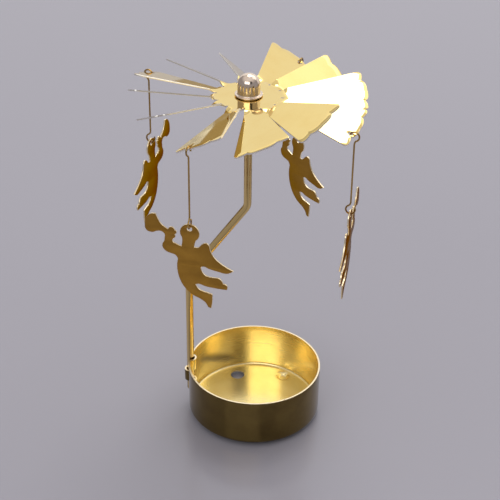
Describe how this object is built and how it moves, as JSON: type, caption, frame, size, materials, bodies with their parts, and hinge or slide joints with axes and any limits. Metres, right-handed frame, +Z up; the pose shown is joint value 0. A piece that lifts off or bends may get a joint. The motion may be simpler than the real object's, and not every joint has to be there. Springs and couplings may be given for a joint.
{
  "type": "candle carousel",
  "caption": "Brass candle carousel: a footed tealight cup, a bent rod in its wall, and a wind wheel on the rod's point with angel figures on wire hangers.",
  "frame": {"origin": "centre of the cup's floor, on the upper face that the candle stands on", "axes": "+Z is up, out of the cup; the rod's socket is at 172.3 degrees from +X towards +Y; -Y faces the picture's viewer"},
  "size_m": [0.0808, 0.0872, 0.1401],
  "materials": {
    "cup_brass": "drawn sheet brass, polished and lacquered",
    "rod_brass": "drawn brass rod, polished, with faint lengthwise die lines",
    "wheel_brass": "stamped sheet brass, mirror polished, with faint rolling grain",
    "cap_brass": "deep drawn brass, bright plated",
    "wire_brass": "drawn brass wire, slightly dulled",
    "figure_brass": "stamped sheet brass, polished face with bright sheared edges"
  },
  "bodies": {
    "cup": {"candle_cup": "cup_brass"},
    "stem": {"stem": "rod_brass"},
    "wheel": {"wind_wheel": "wheel_brass", "bearing_cap": "cap_brass"},
    "hanger_back": {"hanger_back": "wire_brass"},
    "hanger_left": {"hanger_left": "wire_brass"},
    "hanger_front": {"hanger_front": "wire_brass"},
    "hanger_right": {"hanger_right": "wire_brass"},
    "angel_back": {"angel_back": "figure_brass"},
    "angel_left": {"angel_left": "figure_brass"},
    "angel_front": {"angel_front": "figure_brass"},
    "angel_right": {"angel_right": "figure_brass"}
  },
  "joints": [
    {"name": "stem_lift", "type": "slide", "parent": "cup", "child": "stem", "axis": [0, 0, 1], "range_m": [0, 0.014]},
    {"name": "wheel_spin", "type": "hinge", "parent": "stem", "child": "wheel", "pos_m": [-0.00327, 0.00044, 0.1291], "axis": [0, 0, 1], "continuous": true},
    {"name": "swing_back", "type": "hinge", "parent": "wheel", "child": "hanger_back", "pos_m": [0.01535, 0.03548, 0.1266], "axis": [0.9157, -0.4019, 0], "range_deg": [-15, 60]},
    {"name": "swing_left", "type": "hinge", "parent": "wheel", "child": "hanger_left", "pos_m": [-0.0383, 0.01922, 0.12847], "axis": [0.4019, 0.9157, 0], "range_deg": [-15, 60]},
    {"name": "swing_front", "type": "hinge", "parent": "wheel", "child": "hanger_front", "pos_m": [-0.02183, -0.03458, 0.126], "axis": [-0.9157, 0.4019, 0], "range_deg": [-15, 60]},
    {"name": "swing_right", "type": "hinge", "parent": "wheel", "child": "hanger_right", "pos_m": [0.03134, -0.01818, 0.12356], "axis": [-0.4019, -0.9157, 0], "range_deg": [-15, 60]},
    {"name": "tip_back", "type": "hinge", "parent": "hanger_back", "child": "angel_back", "pos_m": [0.01535, 0.03548, 0.09728], "axis": [-0.6468, 0.7627, 0], "range_deg": [-45, 45]},
    {"name": "tip_left", "type": "hinge", "parent": "hanger_left", "child": "angel_left", "pos_m": [-0.0383, 0.01922, 0.1037], "axis": [-0.3697, -0.9291, 0], "range_deg": [-45, 45]},
    {"name": "tip_front", "type": "hinge", "parent": "hanger_front", "child": "angel_front", "pos_m": [-0.02183, -0.03458, 0.0997], "axis": [0.9673, -0.2538, 0], "range_deg": [-45, 45]},
    {"name": "tip_right", "type": "hinge", "parent": "hanger_right", "child": "angel_right", "pos_m": [0.03134, -0.01818, 0.09647], "axis": [0.2538, 0.9673, 0], "range_deg": [-45, 45]}
  ]
}
